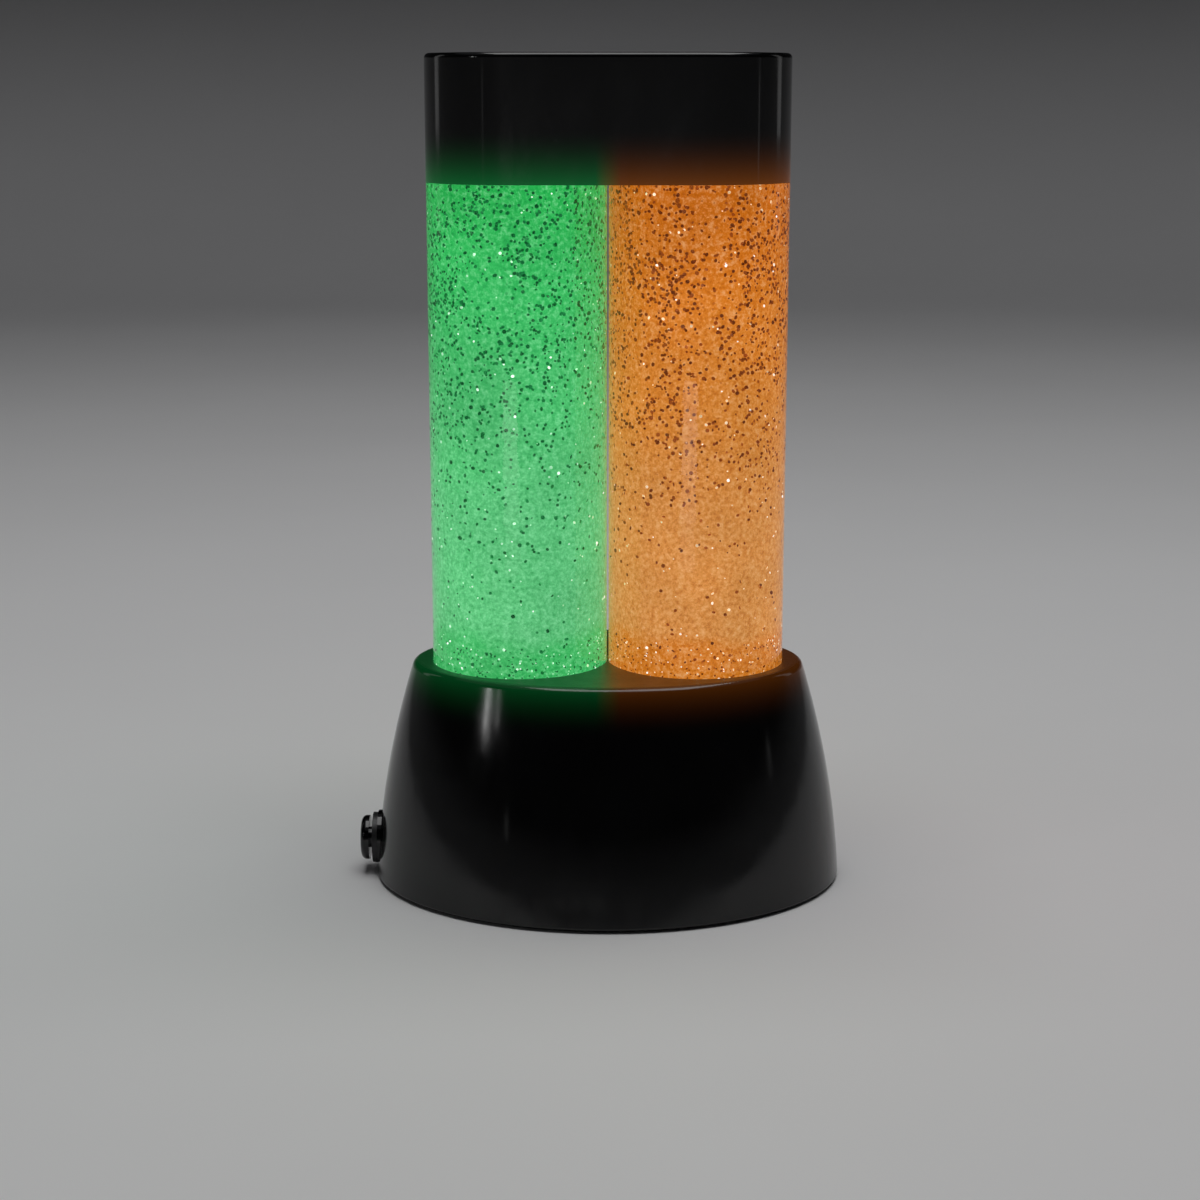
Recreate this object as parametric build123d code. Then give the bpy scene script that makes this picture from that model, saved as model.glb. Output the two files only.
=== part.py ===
from build123d import *
import math
import os

# Twin-tube glitter lamp, in millimetres. +Z is up, +X is the right-hand (orange) tube, -Y is the front.
# The origin is the centre of the anti-slip ring's underside, on the surface that the lamp stands on.

# ---------------------------------------------------------------- overall sizes
TOTAL_HEIGHT = 210.0        # standing surface to cap top
DECK_HEIGHT = 57.5          # standing surface to the base's deck
CAP_HEIGHT = 31.0
BASE_FOOT_X = 60.6          # half widths of the base at its lower edge
BASE_FOOT_Y = 49.5
BASE_DECK_X = 50.0          # half widths of the base at its deck
BASE_DECK_Y = 32.3
BASE_BULGE = 1.9            # how far the flared side swells outside a straight taper
BASE_WALL = 2.4
DECK_EDGE_RADIUS = 2.0
FOOT_EDGE_RADIUS = 0.5
SHELL_LIFT = 0.8            # gap under the base shell's lower edge

# ---------------------------------------------------------------- tubes
TUBE_OUTER_R = 22.5
TUBE_GAP = 0.3              # daylight between the two tubes
TUBE_WALL = 3.0
TUBE_FLOOR = 4.0
TUBE_INSET = 9.0            # how far a tube stands in its socket
SOCKET_CLEARANCE = 0.25
SOCKET_WALL = 3.0
NECK_DROP = 1.6             # step from the tube's outside to its neck
NECK_HEIGHT = 12.0
FLUID_CLEARANCE = 0.05

# ---------------------------------------------------------------- stoppers and cap
PLUG_LENGTH = 10.0
PLUG_FLANGE = 2.0
PLUG_CLEARANCE = 0.1
PLUG_GROOVE_RISE = 3.0      # plug's lower face to its groove
PLUG_GROOVE_DEPTH = 1.5
SEAL_THICKNESS = 2.0
SEAL_CLEARANCE = 0.04
CAP_FIT = 0.1               # cap's bores to the necks
CAP_ROOF = 2.4
CAP_EDGE_RADIUS = 1.2
CAP_RIB_R = 12.0
CAP_RIB_WIDTH = 1.6
PAD_OUTER_R = 15.0
PAD_INNER_R = 7.0
PAD_THICKNESS = 5.0

# ---------------------------------------------------------------- light units under the tubes
GASKET_THICKNESS = 1.5
GASKET_WIDTH = 3.5
LEDGE_THICKNESS = 2.0
LEDGE_WIDTH = 4.45          # socket wall to the ledge's bore
LENS_OVERLAP = 1.7          # lens past the ledge's bore
LENS_THICKNESS = 1.8
REFLECTOR_HEIGHT = 15.6
REFLECTOR_WALL = 1.2
REFLECTOR_THROAT_R = 4.5
REFLECTOR_MOUTH_LIP = 0.8   # reflector's mouth inside the ledge's bore
REFLECTOR_FLANGE = 1.2
BOARD_THICKNESS = 1.6
BOARD_HALF_LENGTH = 39.6
BOARD_HALF_WIDTH = 18.5
BOARD_BOSS_Y = 15.5
BOSS_R = 3.5
SCREW_CORE_R = 1.2
SCREW_HEAD_R = 2.6
SCREW_HEAD_HEIGHT = 1.3
SCREW_SLOT_LENGTH = 3.2
SCREW_SLOT_WIDTH = 0.7
SCREW_SLOT_DEPTH = 0.7
SCREW_CLEARANCE = 0.3       # round the screw's core in the piece that it holds
LED_R = 2.5
LED_FLANGE_R = 2.9
LED_FLANGE = 1.0
LED_HEIGHT = 8.0
RESISTOR_R = 1.15
RESISTOR_HALF_LENGTH = 3.2
RESISTOR_LEG_R = 0.3
RESISTOR_HALF_SPAN = 5.0    # middle of the body to a bent leg
RESISTOR_DROP = 1.6         # board's underside to the resistor's axis
RESISTOR_X = 22.0
RESISTOR_Y = 8.0

# ---------------------------------------------------------------- underside
PLATE_THICKNESS = 2.2
PLATE_CLEARANCE = 0.25
PLATE_HEIGHT = 1.8          # standing surface to the plate's underside
RING_OUTER_X = 56.0
RING_OUTER_Y = 44.8
RING_WIDTH = 4.6
RING_SEAT = 0.6             # depth of the ring's groove
RING_CLEARANCE = 0.05
PLATE_SCREW_X = 40.0
PLATE_SCREW_Y = 18.0
PLATE_SCREW_LENGTH = 10.0
BOARD_SCREW_LENGTH = 8.0

# ---------------------------------------------------------------- batteries (three AA cells)
CELL_R = 7.25
CELL_LENGTH = 49.3
CELL_NUB_R = 2.7
CELL_NUB = 1.2
CELL_PITCH = 15.0
CELL_COUNT = 3
BAY_WALL = 1.6
CELL_CLEARANCE = 0.4
CELL_RIB = 1.0
CONTACT_THICKNESS = 0.4
CONTACT_GAP = 0.05          # contact plate to the bay's end wall
CONTACT_HALF_WIDTH = 5.0
TAB_HALF_WIDTH = 1.8        # solder tab
TAB_RISE = 2.8              # solder tab above the bay's roof
SPRING_LENGTH = 5.4
SPRING_WIRE_R = 0.35
SPRING_R = 3.8
SPRING_TURNS = 3.0
DOOR_THICKNESS = 1.8
DOOR_CLEARANCE = 0.25
DOOR_LIP = 1.3              # how far the door overlaps the bay's wall
TAB_REACH = 1.4
TAB_THICKNESS = 0.8
TAB_WIDTH = 8.0
TAB_Y = 13.0
TAB_LIP = 0.8               # plate left under the door's tabs
SCOOP_R = 1.2               # half-round finger scoop across the door's opening edge
SCOOP_LENGTH = 12.0
GRIP_COUNT = 4              # grooves across the door
GRIP_PITCH = 2.0
GRIP_WIDTH = 0.8
GRIP_DEPTH = 0.4
GRIP_LENGTH = 16.0

# ---------------------------------------------------------------- switch in the left-hand wall
SWITCH_HEIGHT = 8.8
SWITCH_TRAVEL = 1.5
BEZEL_R = 6.6
BEZEL_FLANGE = 0.6
BEZEL_RIM = 0.8
BEZEL_RIM_WALL = 0.5
BARREL_R = 4.0
BARREL_BORE_R = 2.8
BARREL_LENGTH = 9.6
BARREL_CLEARANCE = 0.15
PAD_R = 7.2
PAD_PROUD = 0.2             # flat pad outside the curved wall, on its centre line
PAD_INSIDE = 1.2            # pad inside the wall
PAD_CLEARANCE = 0.05        # pad to the plate's edge
BUTTON_R = 5.8
BUTTON_HEAD = 2.2
BUTTON_STANDOFF = 1.7       # from the flange to the back of the head
STEM_R = 2.74
STEM_END_R = 1.2
RETURN_SPRING_R = 2.0
RETURN_SPRING_TURNS = 4.0
RETURN_WIRE_R = 0.25
RETURN_SPRING_GAP = 0.05
NUT_FLATS = 10.4
NUT_THICKNESS = 2.4
NUT_POCKET = 1.0            # depth of the plate's pocket under the nut
NUT_ROOM_R = 6.1            # clear circle round the nut's corners
HOUSING_R = 3.9
HOUSING_LENGTH = 11.0
LUG_LENGTH = 4.0
LUG_SPREAD = 1.7
LUG_THICKNESS = 0.5

LEAD_R = 0.65

# ---------------------------------------------------------------- derived places
TUBE_X = TUBE_OUTER_R + TUBE_GAP / 2
TUBE_BORE_R = TUBE_OUTER_R - TUBE_WALL
NECK_R = TUBE_OUTER_R - NECK_DROP
CAP_Z = TOTAL_HEIGHT - CAP_HEIGHT
NECK_TOP = CAP_Z + NECK_HEIGHT
TUBE_Z = DECK_HEIGHT - TUBE_INSET
PLUG_Z = NECK_TOP - PLUG_LENGTH
PLUG_R = TUBE_BORE_R - PLUG_CLEARANCE
GROOVE_R = PLUG_R - PLUG_GROOVE_DEPTH
FLUID_Z = TUBE_Z + TUBE_FLOOR + FLUID_CLEARANCE
FLUID_TOP = PLUG_Z - 0.5
LEDGE_TOP = TUBE_Z - GASKET_THICKNESS
LEDGE_Z = LEDGE_TOP - LEDGE_THICKNESS
LENS_Z = LEDGE_Z - LENS_THICKNESS
BOARD_TOP = LENS_Z - REFLECTOR_HEIGHT
BOARD_Z = BOARD_TOP - BOARD_THICKNESS
SOCKET_R = TUBE_OUTER_R + SOCKET_CLEARANCE
LEDGE_BORE_R = SOCKET_R - LEDGE_WIDTH
LENS_R = LEDGE_BORE_R + LENS_OVERLAP
REFLECTOR_MOUTH_R = LEDGE_BORE_R - REFLECTOR_MOUTH_LIP
PLATE_TOP = PLATE_HEIGHT + PLATE_THICKNESS
CELL_Z = PLATE_HEIGHT + DOOR_THICKNESS + CELL_CLEARANCE + CELL_R
BAY_HALF_X = (CELL_LENGTH + CELL_NUB + SPRING_LENGTH) / 2 + CONTACT_THICKNESS + 0.1
BAY_HALF_Y = CELL_PITCH * (CELL_COUNT - 1) / 2 + CELL_R + CELL_CLEARANCE
BAY_CEILING = CELL_Z + CELL_R + CELL_CLEARANCE
BAY_TOP = BAY_CEILING + BAY_WALL
DOOR_HALF_X = BAY_HALF_X + DOOR_LIP
DOOR_HALF_Y = BAY_HALF_Y + DOOR_LIP
OPENING_HALF_X = DOOR_HALF_X + DOOR_CLEARANCE
OPENING_HALF_Y = DOOR_HALF_Y + DOOR_CLEARANCE
STEP_Z = PLATE_HEIGHT + DOOR_THICKNESS + 0.15
DOOR_HINGE_X = OPENING_HALF_X
TAB_Z = PLATE_HEIGHT + TAB_LIP + 0.15
TAB_SWING = math.hypot(TAB_REACH, TAB_Z + TAB_THICKNESS - PLATE_HEIGHT) + 0.3
CAP_INNER_R = NECK_R + CAP_FIT
PAD_Z = NECK_TOP + PLUG_FLANGE
ROOF_Z = TOTAL_HEIGHT - CAP_ROOF
SIDES = {"left": -1, "right": 1}


def flare(z, foot, deck):
    """Half width of the base's side at height z: a straight taper plus a shallow circular bulge."""
    share = z / DECK_HEIGHT
    swell = 4 * BASE_BULGE * share * (1 - share)
    return foot + (deck - foot) * share + swell


def base_section(z, inset=0.0):
    """Horizontal ellipse of the base at height z, moved inward by inset."""
    half_x = flare(z, BASE_FOOT_X, BASE_DECK_X) - inset
    half_y = flare(z, BASE_FOOT_Y, BASE_DECK_Y) - inset
    return Pos(0, 0, z) * Ellipse(half_x, half_y)


def flared_solid(bottom, top, inset=0.0, steps=5):
    """Smooth solid through base sections between two heights."""
    heights = [bottom + (top - bottom) * i / (steps - 1) for i in range(steps)]
    return loft([base_section(z, inset) for z in heights])


PLATE_HALF_X = flare(PLATE_TOP, BASE_FOOT_X, BASE_DECK_X) - BASE_WALL - PLATE_CLEARANCE
PLATE_HALF_Y = flare(PLATE_TOP, BASE_FOOT_Y, BASE_DECK_Y) - BASE_WALL - PLATE_CLEARANCE
SWITCH_FACE = -flare(SWITCH_HEIGHT, BASE_FOOT_X, BASE_DECK_X) - PAD_PROUD
NUT_SEAT = SWITCH_FACE + BASE_WALL + PAD_INSIDE
BEZEL_FACE = SWITCH_FACE - BEZEL_FLANGE
BARREL_END = SWITCH_FACE + BARREL_LENGTH
HOUSING_END = BARREL_END + HOUSING_LENGTH
LUG_MIDDLE = HOUSING_END + LUG_LENGTH / 2
STEM_END = BARREL_END - SWITCH_TRAVEL - 5.0
TAB_X = BAY_HALF_X - CONTACT_THICKNESS / 2 - CONTACT_GAP    # middle of each contact plate


def disc(radius, bottom, height, x=0.0, y=0.0):
    return Pos(x, y, bottom) * Cylinder(radius, height, align=(Align.CENTER, Align.CENTER, Align.MIN))


def ring(outer, inner, bottom, height, x=0.0, y=0.0):
    return disc(outer, bottom, height, x, y) - disc(inner, bottom - 1, height + 2, x, y)


def block(half_x, half_y, bottom, top, x=0.0, y=0.0):
    box = Box(2 * half_x, 2 * half_y, top - bottom, align=(Align.CENTER, Align.CENTER, Align.MIN))
    return Pos(x, y, bottom) * box


def obround(radius, bottom, height, centre=TUBE_X):
    """Stadium-shaped solid with its round ends centred at +-centre on X."""
    plan = SlotOverall(2 * (centre + radius), 2 * radius)
    return Pos(0, 0, bottom) * extrude(plan, amount=height)


def rod_x(radius, start, end, y=0.0, z=SWITCH_HEIGHT):
    """Round rod along X from start to end."""
    return Pos((start + end) / 2, y, z) * Rot(0, 90, 0) * Cylinder(radius, end - start)


def four_corners(x, y):
    return [(sx * x, sy * y) for sx in (-1, 1) for sy in (-1, 1)]


def pan_screw(x, y, seat, length):
    """Pan-head screw that points up, with the back of its head on seat."""
    head = Cylinder(SCREW_HEAD_R, SCREW_HEAD_HEIGHT, align=(Align.CENTER, Align.CENTER, Align.MAX))
    head = fillet(head.edges().sort_by(Axis.Z)[0], 0.5)
    slot = Box(SCREW_SLOT_LENGTH, SCREW_SLOT_WIDTH, 2 * SCREW_SLOT_DEPTH)
    for angle in (0, 90):
        head -= Pos(0, 0, -SCREW_HEAD_HEIGHT) * Rot(0, 0, angle) * slot
    core = Cylinder(SCREW_CORE_R, length, align=(Align.CENTER, Align.CENTER, Align.MIN))
    return Pos(x, y, seat) * (head + core)


def coil(radius, height, turns, wire):
    """Compression spring wound along +Z from the origin."""
    path = Helix(pitch=height / turns, height=height, radius=radius)
    profile = Plane(origin=path @ 0, z_dir=path % 0) * Circle(wire)
    return sweep(profile, path=path, is_frenet=True)


def lead(points):
    """Insulated wire through points, with each corner an arc as large as its shorter run allows."""
    corners = [Vector(*p) for p in points]
    radii = []
    for before, here, after in zip(corners, corners[1:], corners[2:]):
        turn = math.radians((here - before).get_angle(after - here))
        run = min((here - before).length, (after - here).length)
        radii.append(0.45 * run / math.tan(turn / 2))
    path = FilletPolyline(*points, radius=radii)
    profile = Plane(origin=path @ 0, z_dir=path % 0) * Circle(LEAD_R)
    wire = sweep(profile, path=path)
    expected = math.pi * LEAD_R ** 2 * path.length
    print("lead radii", [round(r, 1) for r in radii], "volume ratio", round(wire.volume / expected, 4))
    return wire


# ---------------------------------------------------------------- base
def base_shell():
    outer = flared_solid(SHELL_LIFT, DECK_HEIGHT)
    outer = fillet(outer.edges().group_by(Axis.Z)[-1], DECK_EDGE_RADIUS)
    outer = fillet(outer.edges().group_by(Axis.Z)[0], FOOT_EDGE_RADIUS)
    shell = outer - flared_solid(-1.0, DECK_HEIGHT - BASE_WALL, BASE_WALL)
    for side in SIDES.values():
        shell += disc(SOCKET_R + SOCKET_WALL, LEDGE_Z, DECK_HEIGHT - LEDGE_Z - 0.5, side * TUBE_X)
    for side in SIDES.values():
        shell -= disc(SOCKET_R, LEDGE_TOP, DECK_HEIGHT, side * TUBE_X)
        shell -= disc(LEDGE_BORE_R, LEDGE_Z - 1, DECK_HEIGHT, side * TUBE_X)
    sockets = [disc(SOCKET_R, LEDGE_TOP, DECK_HEIGHT, side * TUBE_X) for side in SIDES.values()]
    for y in (-BOARD_BOSS_Y, BOARD_BOSS_Y):
        boss = disc(BOSS_R, BOARD_TOP, DECK_HEIGHT - 1 - BOARD_TOP, 0, y)
        shell += boss - sockets[0] - sockets[1]
    for x, y in four_corners(PLATE_SCREW_X, PLATE_SCREW_Y):
        shell += disc(BOSS_R, PLATE_TOP, LEDGE_TOP - PLATE_TOP, x, y)
        shell -= disc(SCREW_CORE_R, PLATE_TOP - 1, PLATE_SCREW_LENGTH + 2, x, y)
    for y in (-BOARD_BOSS_Y, BOARD_BOSS_Y):
        shell -= disc(SCREW_CORE_R, BOARD_TOP - 1, BOARD_SCREW_LENGTH + 1, 0, y)
    # Flat pad in the curved wall for the switch, thicker than the wall, with its hole.
    pad = rod_x(PAD_R, SWITCH_FACE, NUT_SEAT)
    notch = min(SWITCH_FACE + BASE_WALL, -PLATE_HALF_X - PAD_CLEARANCE)
    pad -= block(PAD_R, PAD_R, 0, PLATE_TOP + 0.2, notch + PAD_R)
    shell += pad
    shell -= rod_x(PAD_R, SWITCH_FACE - BEZEL_R, SWITCH_FACE)
    shell -= rod_x(BARREL_R + BARREL_CLEARANCE, SWITCH_FACE - 1, NUT_SEAT + 1)
    shell -= rod_x(NUT_ROOM_R, NUT_SEAT, NUT_SEAT + NUT_THICKNESS)
    return shell


def base_plate():
    outline = Ellipse(PLATE_HALF_X, PLATE_HALF_Y)
    plate = Pos(0, 0, PLATE_HEIGHT) * extrude(outline, amount=PLATE_THICKNESS)
    plate += block(OPENING_HALF_X + BAY_WALL, OPENING_HALF_Y + BAY_WALL, PLATE_HEIGHT, BAY_TOP)
    plate -= block(OPENING_HALF_X, OPENING_HALF_Y, 0, STEP_Z)
    plate -= block(BAY_HALF_X, BAY_HALF_Y, 0, BAY_CEILING)
    for x, y in four_corners(PLATE_SCREW_X, PLATE_SCREW_Y):
        plate -= disc(SCREW_CORE_R + SCREW_CLEARANCE, 0, PLATE_SCREW_LENGTH, x, y)
    plate -= oval_ring(0, PLATE_HEIGHT + RING_SEAT, RING_CLEARANCE)
    # Slots for the door's two tabs, a finger scoop at the other end, and room for the switch's nut.
    for y in (-TAB_Y, TAB_Y):
        low = PLATE_HEIGHT + TAB_LIP
        plate -= block(TAB_SWING, TAB_WIDTH / 2 + 0.4, low, PLATE_HEIGHT + TAB_SWING, DOOR_HINGE_X, y)
    plate -= Pos(-OPENING_HALF_X, 0, PLATE_HEIGHT) * Rot(90, 0, 0) * Cylinder(SCOOP_R + 0.2, SCOOP_LENGTH)
    plate -= block(BEZEL_R, NUT_FLATS / 2 + 2, PLATE_TOP - NUT_POCKET, PLATE_TOP + 1, NUT_SEAT)
    # Openings in the bay's roof for the two solder tabs.
    for x, y in terminal_places():
        plate -= block(2 * CONTACT_THICKNESS, TAB_HALF_WIDTH + 0.6, BAY_CEILING - 1, BAY_TOP + 1, x, y)
    # Low ribs that keep the cells apart.
    for y in (-CELL_PITCH / 2, CELL_PITCH / 2):
        plate += block(BAY_HALF_X, CELL_RIB / 2, CELL_Z + CELL_R * 0.75, BAY_CEILING + 0.5, 0, y)
    return plate


def oval_ring(bottom, top, grow=0.0):
    """Oval band under the plate's rim."""
    outer = Ellipse(RING_OUTER_X + grow, RING_OUTER_Y + grow)
    inner = Ellipse(RING_OUTER_X - RING_WIDTH - grow, RING_OUTER_Y - RING_WIDTH - grow)
    return Pos(0, 0, bottom) * extrude(outer - inner, amount=top - bottom)


def anti_slip_ring():
    return oval_ring(0, PLATE_HEIGHT + RING_SEAT)


def battery_door():
    door = block(DOOR_HALF_X, DOOR_HALF_Y, PLATE_HEIGHT, PLATE_HEIGHT + DOOR_THICKNESS)
    door = fillet(door.edges().filter_by(Axis.Z), 1.0)
    for y in (-TAB_Y, TAB_Y):
        start = DOOR_HALF_X - 2
        end = DOOR_HINGE_X + TAB_REACH
        middle = (start + end) / 2
        door += block((end - start) / 2, TAB_WIDTH / 2, TAB_Z, TAB_Z + TAB_THICKNESS, middle, y)
    # Finger scoop and grip grooves at the opening end.
    door -= Pos(-DOOR_HALF_X, 0, PLATE_HEIGHT) * Rot(90, 0, 0) * Cylinder(SCOOP_R, SCOOP_LENGTH)
    groove = Box(GRIP_WIDTH, GRIP_LENGTH, 2 * GRIP_DEPTH)
    for i in range(GRIP_COUNT):
        door -= Pos(-DOOR_HALF_X + GRIP_PITCH * (i + 2), 0, PLATE_HEIGHT) * groove
    return door


# ---------------------------------------------------------------- batteries and their contacts
def cell_y(index):
    return (index - (CELL_COUNT - 1) / 2) * CELL_PITCH


def cell_sign(index):
    """+1 where the cell's positive nub points to +X; neighbours alternate."""
    return 1 if index % 2 == 0 else -1


def battery_cell(index):
    nub_end = BAY_HALF_X - CONTACT_THICKNESS - 0.1
    body = rod_x(CELL_R, nub_end - CELL_NUB - CELL_LENGTH, nub_end - CELL_NUB, 0, 0)
    body = fillet(body.edges(), 0.8)
    nub = rod_x(CELL_NUB_R, nub_end - CELL_NUB - 0.5, nub_end, 0, 0)
    turn = 0 if cell_sign(index) > 0 else 180
    return Pos(0, cell_y(index), CELL_Z) * Rot(0, 0, turn) * (body + nub)


def terminal_places():
    """Solder tab of the first cell's positive plate and of the last cell's negative plate."""
    return [(TAB_X, cell_y(0)), (-TAB_X, cell_y(CELL_COUNT - 1))]


def battery_contacts():
    low = CELL_Z - CONTACT_HALF_WIDTH
    high = CELL_Z + CONTACT_HALF_WIDTH
    plates = []
    for x, y in terminal_places():
        plate = block(CONTACT_THICKNESS / 2, CONTACT_HALF_WIDTH, low, high, x, y)
        plate += block(CONTACT_THICKNESS / 2, TAB_HALF_WIDTH, high - 1, BAY_TOP + TAB_RISE, x, y)
        plates.append(plate)
    half_width = CELL_PITCH / 2 + CONTACT_HALF_WIDTH - 0.4
    for x, first in ((TAB_X, 1), (-TAB_X, 0)):
        middle = (cell_y(first) + cell_y(first + 1)) / 2
        plates.append(block(CONTACT_THICKNESS / 2, half_width, low, high, x, middle))
    return Compound(children=plates)


def battery_springs():
    springs = []
    for index in range(CELL_COUNT):
        side = -cell_sign(index)
        height = SPRING_LENGTH - 2 * (SPRING_WIRE_R + CONTACT_GAP)
        spring = coil(SPRING_R, height, SPRING_TURNS, SPRING_WIRE_R)
        face = BAY_HALF_X - CONTACT_THICKNESS - CONTACT_GAP - SPRING_WIRE_R
        springs.append(Pos(side * face, cell_y(index), CELL_Z) * Rot(0, -90 * side, 0) * spring)
    return Compound(children=springs)


# ---------------------------------------------------------------- switch
def switch_bezel():
    bezel = rod_x(BEZEL_R, BEZEL_FACE - BEZEL_RIM, SWITCH_FACE)
    bezel -= rod_x(BEZEL_R - BEZEL_RIM_WALL, BEZEL_FACE - BEZEL_RIM - 1, BEZEL_FACE)
    bezel += rod_x(BARREL_R, SWITCH_FACE, BARREL_END)
    bezel -= rod_x(BARREL_BORE_R, BEZEL_FACE - 3, BARREL_END + 1)
    return bezel


def switch_button():
    back = BEZEL_FACE - BUTTON_STANDOFF
    head = rod_x(BUTTON_R, back - BUTTON_HEAD, back)
    head = fillet(head.edges().sort_by(Axis.X)[0], 1.4)
    return head + rod_x(STEM_R, back, STEM_END) + rod_x(STEM_END_R, STEM_END, STEM_END + 3.0)


def switch_spring():
    start = STEM_END + RETURN_WIRE_R + RETURN_SPRING_GAP
    length = BARREL_END - RETURN_SPRING_GAP - RETURN_WIRE_R - start
    spring = coil(RETURN_SPRING_R, length, RETURN_SPRING_TURNS, RETURN_WIRE_R)
    return Pos(start, 0, SWITCH_HEIGHT) * Rot(0, 90, 0) * spring


def switch_nut():
    hexagon = RegularPolygon(NUT_FLATS / 2, 6, major_radius=False, rotation=30)
    nut = extrude(hexagon, amount=NUT_THICKNESS) - Cylinder(BARREL_R + 0.1, 3 * NUT_THICKNESS)
    return Pos(NUT_SEAT, 0, SWITCH_HEIGHT) * Rot(0, 90, 0) * nut


def switch_housing():
    return fillet(rod_x(HOUSING_R, BARREL_END, HOUSING_END).edges().sort_by(Axis.X)[-1], 0.6)


def switch_terminals():
    lug = Box(LUG_LENGTH, LUG_THICKNESS, 2.2)
    return Compound(children=[Pos(LUG_MIDDLE, y, SWITCH_HEIGHT) * lug for y in (-LUG_SPREAD, LUG_SPREAD)])


# ---------------------------------------------------------------- light units
def led_board():
    centre = BOARD_HALF_LENGTH - BOARD_HALF_WIDTH
    board = obround(BOARD_HALF_WIDTH, BOARD_Z, BOARD_THICKNESS, centre)
    for y in (-BOARD_BOSS_Y, BOARD_BOSS_Y):
        board -= disc(SCREW_CORE_R + SCREW_CLEARANCE, 0, DECK_HEIGHT, 0, y)
    return board


def led(side):
    x = side * TUBE_X
    body = disc(LED_FLANGE_R, BOARD_TOP, LED_FLANGE, x) + disc(LED_R, BOARD_TOP, LED_HEIGHT - LED_R, x)
    return body + Pos(x, 0, BOARD_TOP + LED_HEIGHT - LED_R) * Sphere(LED_R)


def reflector(side):
    """Cone-shaped cup with a flat flange at its mouth."""
    mouth = LENS_Z
    flange = mouth - REFLECTOR_FLANGE
    outline = Polyline(
        (REFLECTOR_THROAT_R, BOARD_TOP),
        (REFLECTOR_THROAT_R + REFLECTOR_WALL, BOARD_TOP),
        (REFLECTOR_MOUTH_R + REFLECTOR_WALL, flange),
        (LENS_R, flange),
        (LENS_R, mouth),
        (REFLECTOR_MOUTH_R, mouth),
        (REFLECTOR_MOUTH_R, flange),
        close=True,
    )
    cup = revolve(Plane.XZ * make_face(outline), axis=Axis.Z)
    return Pos(side * TUBE_X, 0, 0) * cup


def lens(side):
    return disc(LENS_R, LENS_Z, LENS_THICKNESS, side * TUBE_X)


def tube_gasket(side):
    outer = TUBE_OUTER_R - 0.2
    return ring(outer, outer - GASKET_WIDTH, LEDGE_TOP, GASKET_THICKNESS, side * TUBE_X)


def board_resistors():
    """Two axial resistors under the board, with bent legs up to its underside."""
    body = rod_x(RESISTOR_R, -RESISTOR_HALF_LENGTH, RESISTOR_HALF_LENGTH, 0, 0)
    resistor = fillet(body.edges(), 0.5)
    resistor += rod_x(RESISTOR_LEG_R, -RESISTOR_HALF_SPAN, RESISTOR_HALF_SPAN, 0, 0)
    for end in (-RESISTOR_HALF_SPAN, RESISTOR_HALF_SPAN):
        resistor += disc(RESISTOR_LEG_R, 0, RESISTOR_DROP, end)
    z = BOARD_Z - RESISTOR_DROP
    return Compound(children=[Pos(side * RESISTOR_X, RESISTOR_Y, z) * resistor for side in SIDES.values()])


# ---------------------------------------------------------------- tubes
def tube(side):
    x = side * TUBE_X
    body = disc(TUBE_OUTER_R, TUBE_Z, CAP_Z - TUBE_Z, x) + disc(NECK_R, CAP_Z, NECK_HEIGHT, x)
    return body - disc(TUBE_BORE_R, TUBE_Z + TUBE_FLOOR, TOTAL_HEIGHT, x)


def fluid(side):
    radius = TUBE_BORE_R - FLUID_CLEARANCE
    return disc(radius, FLUID_Z, FLUID_TOP - FLUID_Z, side * TUBE_X)


def tube_stopper(side):
    x = side * TUBE_X
    plug = disc(PLUG_R, PLUG_Z, PLUG_LENGTH, x) + disc(NECK_R, NECK_TOP, PLUG_FLANGE, x)
    return plug - ring(PLUG_R + 1, GROOVE_R, PLUG_Z + PLUG_GROOVE_RISE, SEAL_THICKNESS, x)


def stopper_seal(side):
    """O-ring in the stopper's groove."""
    half_width = (TUBE_BORE_R - GROOVE_R) / 2 - SEAL_CLEARANCE
    profile = Pos((TUBE_BORE_R + GROOVE_R) / 2, 0) * Ellipse(half_width, SEAL_THICKNESS / 2 - SEAL_CLEARANCE)
    z = PLUG_Z + PLUG_GROOVE_RISE + SEAL_THICKNESS / 2
    return Pos(side * TUBE_X, 0, z) * revolve(Plane.XZ * profile, axis=Axis.Z)


# ---------------------------------------------------------------- cap
def top_cap():
    """Skirted cap: round bores grip the two necks, and the room above them is open."""
    outer = obround(TUBE_OUTER_R, CAP_Z, CAP_HEIGHT)
    cap = fillet(outer.edges().group_by(Axis.Z)[-1], CAP_EDGE_RADIUS)
    cap -= obround(CAP_INNER_R, NECK_TOP, ROOF_Z - NECK_TOP)
    for side in SIDES.values():
        cap -= disc(CAP_INNER_R, CAP_Z - 1, ROOF_Z - CAP_Z, side * TUBE_X)
    # A round rib over each pad presses it onto its stopper.
    for side in SIDES.values():
        rib_z = PAD_Z + PAD_THICKNESS
        cap += ring(CAP_RIB_R, CAP_RIB_R - CAP_RIB_WIDTH, rib_z, ROOF_Z - rib_z + 0.5, side * TUBE_X)
    return cap


def cap_pad(side):
    return ring(PAD_OUTER_R, PAD_INNER_R, PAD_Z, PAD_THICKNESS, side * TUBE_X)


# ---------------------------------------------------------------- screws
def base_screws():
    places = four_corners(PLATE_SCREW_X, PLATE_SCREW_Y)
    return Compound(children=[pan_screw(x, y, PLATE_HEIGHT, PLATE_SCREW_LENGTH) for x, y in places])


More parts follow.
